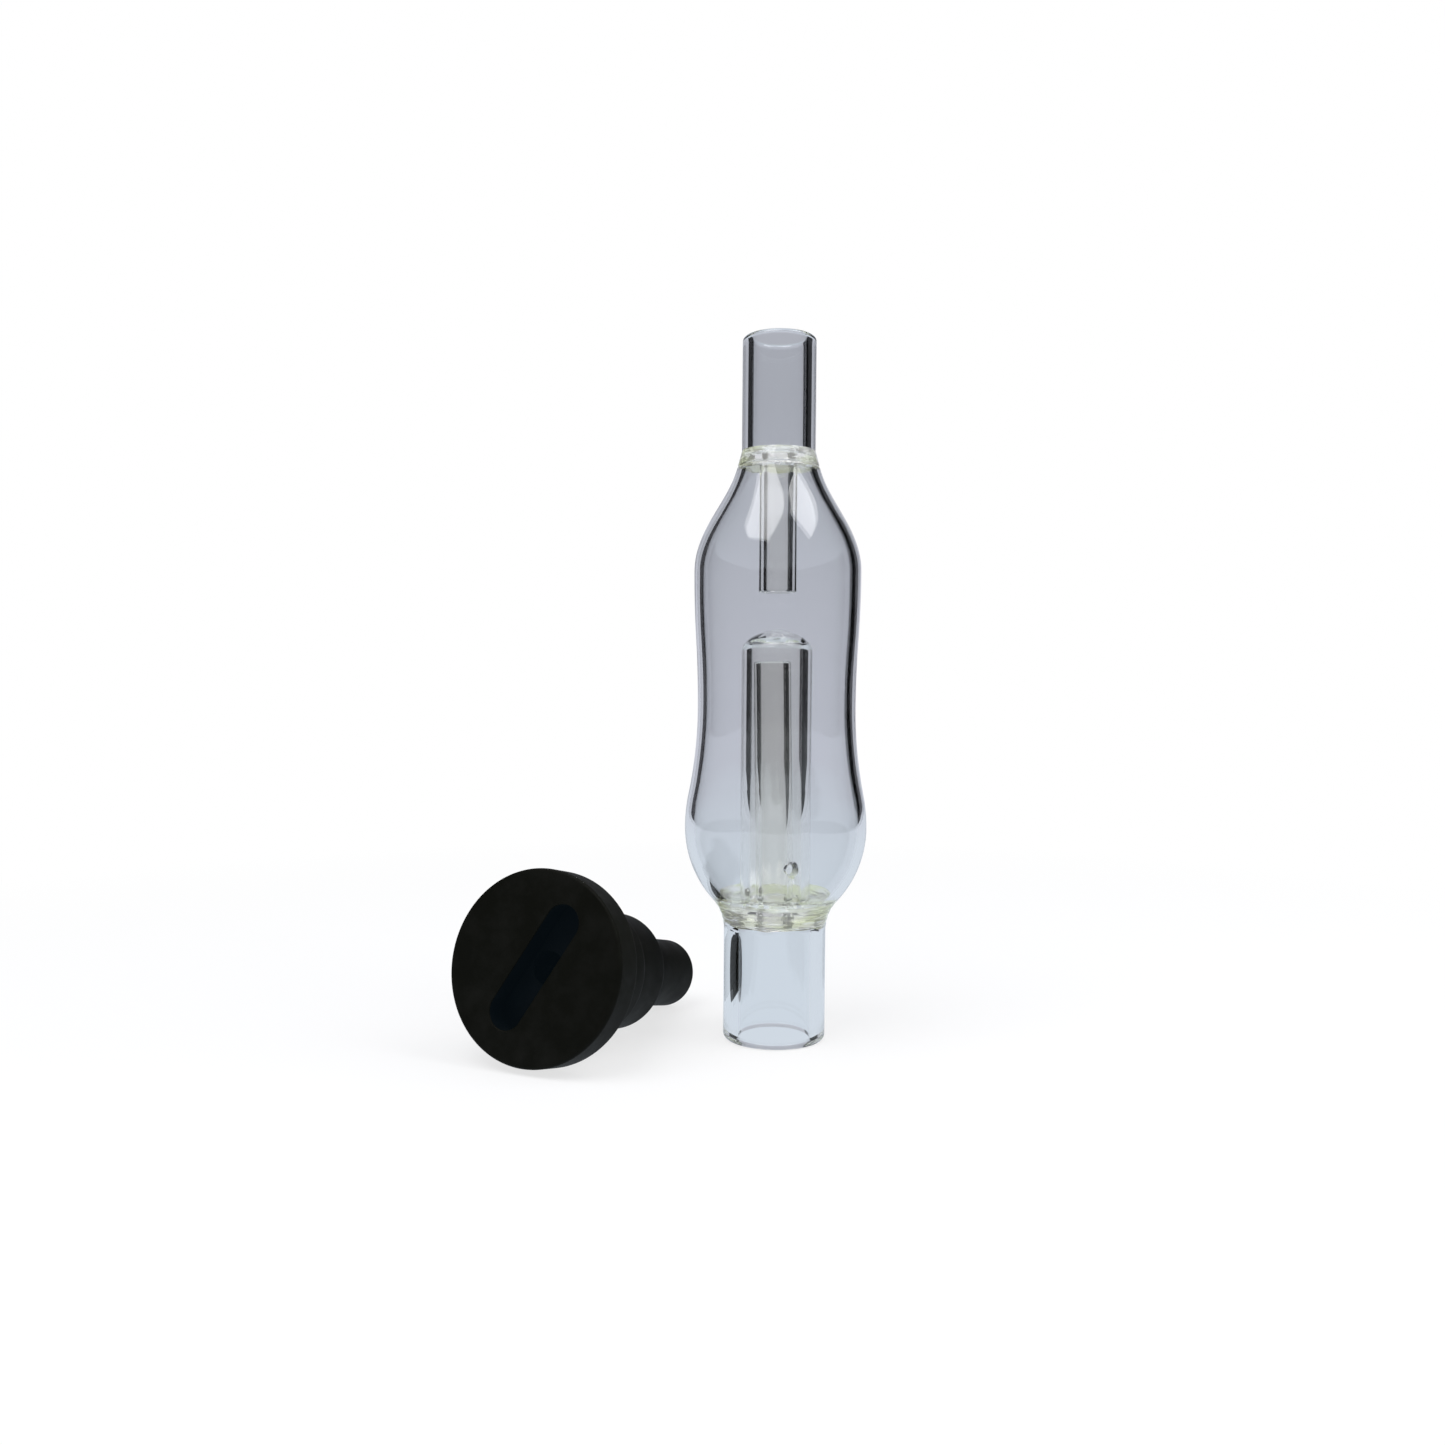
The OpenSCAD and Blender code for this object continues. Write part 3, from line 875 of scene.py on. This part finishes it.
class BUBBLER_OT_adapter(bpy.types.Operator):
    """Mould the adapter upright, cut its slot and lay it beside the glass"""

    bl_idname = "bubbler.adapter"
    bl_label = "Adapter"

    def execute(self, context):
        _, size, _ = settings()
        nose_radius = mount("adapter_nose")[2]
        shoulder_end = size.flange_depth + size.shoulder_length
        step_end = shoulder_end + size.step_length
        end = step_end + size.nose_length
        flat = size.flange_radius - size.flange_edge
        outline = [(size.passage, 0), (flat - ADAPTER_GUARD, 0)]
        outline += arc(flat, size.flange_edge, size.flange_edge, -90, 0)
        outline += [(size.flange_radius, size.flange_edge + ADAPTER_GUARD)]
        back = size.flange_depth - size.flange_edge
        outline += [(size.flange_radius, back - ADAPTER_GUARD)]
        outline += arc(flat, back, size.flange_edge, 0, 90)
        outline += self.inside_corner(size.shoulder_radius, size.flange_depth)
        outline += self.edge(size.shoulder_radius, shoulder_end, size.step_edge)
        outline += self.inside_corner(size.step_radius, shoulder_end)
        outline += self.edge(size.step_radius, step_end, size.step_edge)
        outline += self.inside_corner(nose_radius, step_end)
        outline += self.edge(nose_radius, end, size.nose_edge)
        outline += arc(size.passage + size.flange_edge, end - size.flange_edge,
                       size.flange_edge, 90, 180)
        piece = lathe("adapter_body", outline)
        cut(piece, self.slot_cutter(size))
        self.round_slot(piece, size)
        dress(piece, "moulded_silicone")
        # The passage bore and the slot's walls and floor get the painted shade and glow.
        paint_faces(piece, material_of("slot_shade_glow_silicone"), lambda c, n: (
            c.xy.length < size.passage + SAME_PLACE and abs(n.z) < 0.3
            or size.slot_edge < c.z < size.slot_depth + SAME_PLACE
            and (abs(n.z) < 0.3 or c.z > size.slot_depth - SAME_PLACE)
            and c.xy.length < size.slot_length / 2 + SAME_PLACE
            and (c.z < size.slot_depth - SAME_PLACE or abs(n.z) > 0.9)
        ))
        make_active(piece)
        axis = -SLOT_AXIS
        piece.rotation_euler = (
            -(math.pi / 2 + math.asin(-axis.z)), 0, -math.atan2(axis.x, axis.y)
        )
        piece.location = SLOT_PLACE
        bpy.ops.object.transform_apply(location=True, rotation=True, scale=True)
        bpy.ops.object.shade_smooth_by_angle(angle=SMOOTH_ANGLE)
        weighted = piece.modifiers.new("even_shading", "WEIGHTED_NORMAL")
        weighted.keep_sharp = True
        bpy.ops.object.modifier_apply(modifier=weighted.name)
        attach(piece, "adapter")
        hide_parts("adapter")
        return {"FINISHED"}

    def edge(self, radius, end, rounding):
        """Up a straight side and round its far edge."""
        return [(radius, end - rounding - ADAPTER_GUARD)] + arc(
            radius - rounding, end - rounding, rounding, 0, 90)

    def inside_corner(self, radius, at, fillet=0.35 * MM):
        """The small fillet where a step meets the face behind it."""
        return arc(radius + fillet, at + fillet, fillet, 270, 180, 6)

    def slot_cutter(self, size):
        deselect_all()
        bpy.ops.mesh.primitive_cylinder_add(
            vertices=96, radius=size.slot_width / 2, depth=2 * size.slot_depth
        )
        cutter = bpy.context.object
        reach = (size.slot_length - size.slot_width) / 2
        for side in (-1, 1):
            bpy.ops.object.mode_set(mode="EDIT")
            bpy.ops.mesh.select_mode(type="VERT")
            bpy.ops.mesh.select_all(action="DESELECT")
            bpy.ops.object.mode_set(mode="OBJECT")
            for vertex in cutter.data.vertices:
                vertex.select = side * vertex.co.y > SAME_PLACE
            bpy.ops.object.mode_set(mode="EDIT")
            bpy.ops.transform.translate(value=(0, side * reach, 0))
            bpy.ops.object.mode_set(mode="OBJECT")
        cutter.rotation_euler.z = size.slot_turn
        return cutter

    def round_slot(self, piece, size):
        """Bevels the slot's mouth."""
        make_active(piece)
        bpy.ops.object.mode_set(mode="EDIT")
        bpy.ops.mesh.select_mode(type="VERT")
        bpy.ops.mesh.select_all(action="SELECT")
        bpy.ops.mesh.remove_doubles(threshold=5 * MERGE_DISTANCE)
        bpy.ops.mesh.select_mode(type="EDGE")
        bpy.ops.mesh.select_all(action="DESELECT")
        bpy.ops.object.mode_set(mode="OBJECT")
        mesh = piece.data
        for edge in mesh.edges:
            edge.select = all(
                abs(mesh.vertices[v].co.z) < SAME_PLACE and self.on_slot(mesh.vertices[v].co, size)
                for v in edge.vertices
            )
        bpy.ops.object.mode_set(mode="EDIT")
        bpy.ops.mesh.bevel(offset=size.slot_edge, segments=4, affect="EDGES")
        bpy.ops.object.mode_set(mode="OBJECT")

    def on_slot(self, point, size):
        """Is the point on the slot's outline?"""
        c, s = math.cos(-size.slot_turn), math.sin(-size.slot_turn)
        x, y = point.x * c - point.y * s, point.x * s + point.y * c
        reach = (size.slot_length - size.slot_width) / 2
        away = math.hypot(x, max(abs(y) - reach, 0.0))
        return abs(away - size.slot_width / 2) < SAME_PLACE


# ---------------------------------------------------------------- studio

VIEW_DISTANCE = 0.2344
EYE_HEIGHT = 0.0666
EYE_ASIDE = -0.01016
EYE_LENS = 31.14
EYE_PITCH = math.radians(1.78)
EYE_ROLL = math.radians(-0.43)
CARD_ASIDE = 0.40
CARD_HEIGHT = 1.2
SOFTBOX_DISTANCE = 0.62
SOFTBOX_HEIGHT = 0.44
# Watts from each square metre of softbox
SOFTBOX_GLOW = 11.7
# Each softbox: its turn to the right of the camera, its height as an angle, and its width
SOFTBOXES = (("left", math.radians(-42), math.radians(62), 0.42),
             ("right", math.radians(76), math.radians(52), 0.38))


class BUBBLER_OT_stage(bpy.types.Operator):
    """Set up the camera, the surroundings, the table, the black cards and the softboxes"""

    bl_idname = "bubbler.stage"
    bl_label = "Studio"

    def execute(self, context):
        self.camera()
        self.surroundings()
        self.table()
        self.cards()
        self.softboxes()
        scene = bpy.context.scene
        scene.view_settings.view_transform = "Standard"
        scene.cycles.max_bounces = 40
        scene.cycles.transmission_bounces = 40
        scene.cycles.glossy_bounces = 16
        scene.cycles.transparent_max_bounces = 40
        scene.cycles.sample_clamp_indirect = 6
        return {"FINISHED"}

    def camera(self):
        deselect_all()
        bpy.ops.object.camera_add(
            location=(EYE_ASIDE, -VIEW_DISTANCE, EYE_HEIGHT),
            rotation=(math.pi / 2 - EYE_PITCH, EYE_ROLL, 0),
        )
        camera = bpy.context.object
        camera.name = "camera"
        camera.data.lens = EYE_LENS
        camera.data.clip_start = 0.01
        bpy.context.scene.camera = camera

    def surroundings(self):
        """White to the camera, and grey paper to what the glass bends or mirrors."""
        looks = settings()[2]
        world = bpy.data.worlds.new("surroundings")
        bpy.context.scene.world = world
        world.use_nodes = True
        nodes, links = world.node_tree.nodes, world.node_tree.links
        nodes.clear()
        path = nodes.new("ShaderNodeLightPath")
        way = nodes.new("ShaderNodeTexCoord")
        height = nodes.new("ShaderNodeSeparateXYZ")
        links.new(way.outputs["Generated"], height.inputs["Vector"])
        paper = blend_colours(
            nodes, links, span(nodes, links, height.outputs["Z"], 0.0, 1.0, 0.0, 0.22),
            tuple(looks.horizon), tuple(looks.backdrop),
        )
        mix = nodes.new("ShaderNodeMix")
        mix.data_type = "RGBA"
        links.new(paper, mix.inputs["A"])
        mix.inputs["B"].default_value = (*looks.paper, 1)
        sky = nodes.new("ShaderNodeBackground")
        out = nodes.new("ShaderNodeOutputWorld")
        links.new(path.outputs["Is Camera Ray"], mix.inputs["Factor"])
        links.new(mix.outputs["Result"], sky.inputs["Color"])
        links.new(sky.outputs["Background"], out.inputs["Surface"])

    def table(self):
        looks = settings()[2]
        deselect_all()
        bpy.ops.mesh.primitive_circle_add(vertices=96, radius=6.0, fill_type="NGON")
        table = bpy.context.object
        table.name = "table"
        material = bpy.data.materials.new("table_paper")
        material.use_nodes = True
        nodes, links = material.node_tree.nodes, material.node_tree.links
        nodes.remove(nodes["Principled BSDF"])
        coords = nodes.new("ShaderNodeTexCoord")
        far = nodes.new("ShaderNodeVectorMath")
        far.operation = "LENGTH"
        links.new(coords.outputs["Object"], far.inputs[0])
        lit = nodes.new("ShaderNodeBsdfDiffuse")
        lit.inputs["Color"].default_value = (0.9, 0.9, 0.9, 1)
        glow = nodes.new("ShaderNodeEmission")
        glow.inputs["Color"].default_value = (*looks.paper, 1)
        near = nodes.new("ShaderNodeMixShader")
        links.new(span(nodes, links, far.outputs["Value"], 0.72, 1.0, 0.08, 0.30),
                  near.inputs["Fac"])
        links.new(lit.outputs["BSDF"], near.inputs[1])
        links.new(glow.outputs["Emission"], near.inputs[2])
        through = nodes.new("ShaderNodeEmission")
        links.new(
            blend_colours(
                nodes, links, span(nodes, links, far.outputs["Value"], 0.0, 1.0, 0.10, 0.9),
                tuple(looks.table), tuple(looks.horizon),
            ),
            through.inputs["Color"],
        )
        path = nodes.new("ShaderNodeLightPath")
        choice = nodes.new("ShaderNodeMixShader")
        links.new(path.outputs["Is Camera Ray"], choice.inputs["Fac"])
        links.new(through.outputs["Emission"], choice.inputs[1])
        links.new(near.outputs["Shader"], choice.inputs[2])
        links.new(choice.outputs["Shader"], nodes["Material Output"].inputs["Surface"])
        table.data.materials.append(material)

    def cards(self):
        """Black cards at both sides and behind the camera, carried with the camera."""
        material = bpy.data.materials.new("black_card")
        material.use_nodes = True
        shader = material.node_tree.nodes["Principled BSDF"]
        shader.inputs["Base Color"].default_value = (0.002, 0.002, 0.002, 1)
        shader.inputs["Roughness"].default_value = 1.0
        shader.inputs["Specular IOR Level"].default_value = 0.0
        camera = bpy.context.scene.camera
        places = (
            ("left", (-CARD_ASIDE, -0.03, CARD_HEIGHT / 2), (0, math.pi / 2, 0), 1.34),
            ("right", (CARD_ASIDE, 0.05, CARD_HEIGHT / 2), (0, -math.pi / 2, 0), 1.5),
            ("front", (0, -0.5, CARD_HEIGHT / 2), (-math.pi / 2, 0, 0), 1.0),
        )
        for name, place, turn, width in places:
            deselect_all()
            bpy.ops.mesh.primitive_plane_add(size=1, location=place, rotation=turn)
            card = bpy.context.object
            card.name = "card_" + name
            card.scale = (CARD_HEIGHT if name != "front" else width,
                          width if name != "front" else CARD_HEIGHT, 1)
            card.data.materials.append(material)
            card.visible_camera = False
            card.visible_diffuse = False
            card.visible_shadow = False
            bpy.context.view_layer.update()
            world = card.matrix_world.copy()
            card.parent = camera
            card.matrix_parent_inverse = camera.matrix_world.inverted()
            card.matrix_world = world

    def softboxes(self):
        """One softbox high on each side of the camera, aimed at the middle of the glass."""
        middle = Vector((0, 0, 0.065))
        for name, turn, lift, width in SOFTBOXES:
            way = Vector((
                math.sin(turn) * math.cos(lift), -math.cos(turn) * math.cos(lift), math.sin(lift)
            ))
            deselect_all()
            bpy.ops.object.light_add(
                type="AREA", location=middle + SOFTBOX_DISTANCE * way,
                rotation=way.to_track_quat("Z", "Y").to_euler(),
            )
            light = bpy.context.object
            light.name = "softbox_" + name
            light.data.shape = "RECTANGLE"
            light.data.size, light.data.size_y = width, SOFTBOX_HEIGHT
            light.data.energy = SOFTBOX_GLOW * width * SOFTBOX_HEIGHT


class BUBBLER_PT_panel(bpy.types.Panel):
    """Lists the sizes, the colours and the pieces"""

    bl_label = "Glass Bubbler"
    bl_idname = "BUBBLER_PT_panel"
    bl_space_type = "VIEW_3D"
    bl_region_type = "UI"
    bl_category = "Bubbler"

    def draw(self, context):
        for group in settings():
            box = self.layout.box()
            box.label(text=group.bl_rna.name)
            for name in group.__annotations__:
                box.prop(group, name)
        for operator in PIECE_OPERATORS:
            self.layout.operator(operator.bl_idname)


PIECE_OPERATORS = (
    BUBBLER_OT_tubes,
    BUBBLER_OT_chamber,
    BUBBLER_OT_seals,
    BUBBLER_OT_inner_tubes,
    BUBBLER_OT_dome,
    BUBBLER_OT_adapter,
    BUBBLER_OT_stage,
)
SETTINGS = (BubblerGlassSizes, BubblerAdapterSizes, BubblerLooks)


def register():
    for cls in SETTINGS + PIECE_OPERATORS + (BUBBLER_PT_panel,):
        bpy.utils.register_class(cls)
    bpy.types.Scene.bubbler_glass = bpy.props.PointerProperty(type=BubblerGlassSizes)
    bpy.types.Scene.bubbler_adapter = bpy.props.PointerProperty(type=BubblerAdapterSizes)
    bpy.types.Scene.bubbler_looks = bpy.props.PointerProperty(type=BubblerLooks)


def unregister():
    del bpy.types.Scene.bubbler_glass
    del bpy.types.Scene.bubbler_adapter
    del bpy.types.Scene.bubbler_looks
    for cls in reversed(SETTINGS + PIECE_OPERATORS + (BUBBLER_PT_panel,)):
        bpy.utils.unregister_class(cls)


def main():
    register()
    bpy.ops.bubbler.stage()
    bpy.ops.bubbler.tubes()
    bpy.ops.bubbler.chamber()
    bpy.ops.bubbler.seals()
    bpy.ops.bubbler.inner_tubes()
    bpy.ops.bubbler.dome()
    bpy.ops.bubbler.adapter()
    deselect_all()


if __name__ == "__main__":
    main()
